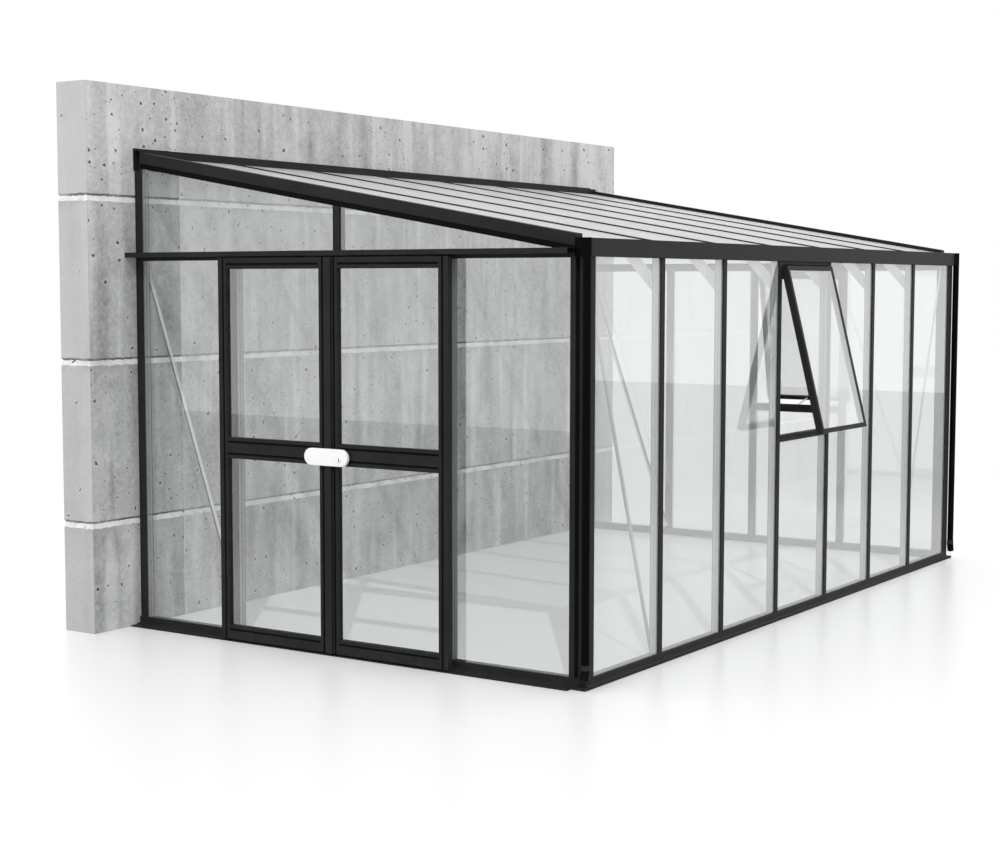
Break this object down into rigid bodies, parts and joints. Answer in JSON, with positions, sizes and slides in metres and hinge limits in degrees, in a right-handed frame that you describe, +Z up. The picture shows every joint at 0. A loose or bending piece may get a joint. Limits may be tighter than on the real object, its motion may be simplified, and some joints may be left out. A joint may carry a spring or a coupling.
{
  "type": "lean-to greenhouse",
  "caption": "Lean-to greenhouse: glazed dark metal frame with a single-pitch glass roof against a concrete wall, sliding double doors in one gable and top-hung windows.",
  "frame": {"origin": "centre of the footprint at ground level", "axes": "+X along the glazed long side, from the door gable to the far gable; +Y from the long side to the concrete wall; +Z up"},
  "size_m": [6.005, 3.6277, 3.1937],
  "materials": {
    "frame": "anthracite powder coat, satin",
    "glass": "clear, faintly green",
    "concrete": "fair-faced concrete with pores",
    "pipe": "black plastic, matt",
    "fittings": "plain, satin",
    "lock": "white plastic"
  },
  "bodies": {
    "building": {"concrete_wall": "concrete", "door_gable_sill": "frame", "front_sill": "frame", "far_gable_sill": "frame", "wall_posts": "frame", "corner_posts": "frame", "front_posts": "frame", "door_posts": "frame", "far_gable_posts": "frame", "gable_stubs": "frame", "door_gable_head_bar": "frame", "far_gable_head_bar": "frame", "door_track": "frame", "gable_rafters": "frame", "roof_bars": "frame", "wall_plate": "frame", "gutter": "frame", "window_transoms": "frame", "window_hinge_bars": "frame", "window_stiles": "frame", "window_rails": "frame", "gutter_outlets": "pipe", "downpipes": "pipe", "window_stays": "fittings", "knee_braces": "fittings", "front_braces": "fittings", "gable_braces": "fittings", "roof_glass": "glass", "front_glass": "glass", "door_gable_glass": "glass", "far_gable_glass": "glass", "door_gable_top_glass": "glass", "far_gable_top_glass": "glass", "window_glass": "glass"},
    "left_door": {"left_door_stiles": "frame", "left_door_rails": "frame", "left_door_glass": "glass", "left_door_hangers": "fittings", "meeting_strip": "frame", "lock_case": "lock", "lock_knob": "lock"},
    "right_door": {"right_door_stiles": "frame", "right_door_rails": "frame", "right_door_glass": "glass", "right_door_hangers": "fittings"}
  },
  "joints": [
    {"name": "left_door_slide", "type": "slide", "parent": "building", "child": "left_door", "axis": [0, 1, 0], "range_m": [0, 0.7]},
    {"name": "right_door_slide", "type": "slide", "parent": "building", "child": "right_door", "axis": [0, -1, 0], "range_m": [0, 0.7]}
  ]
}
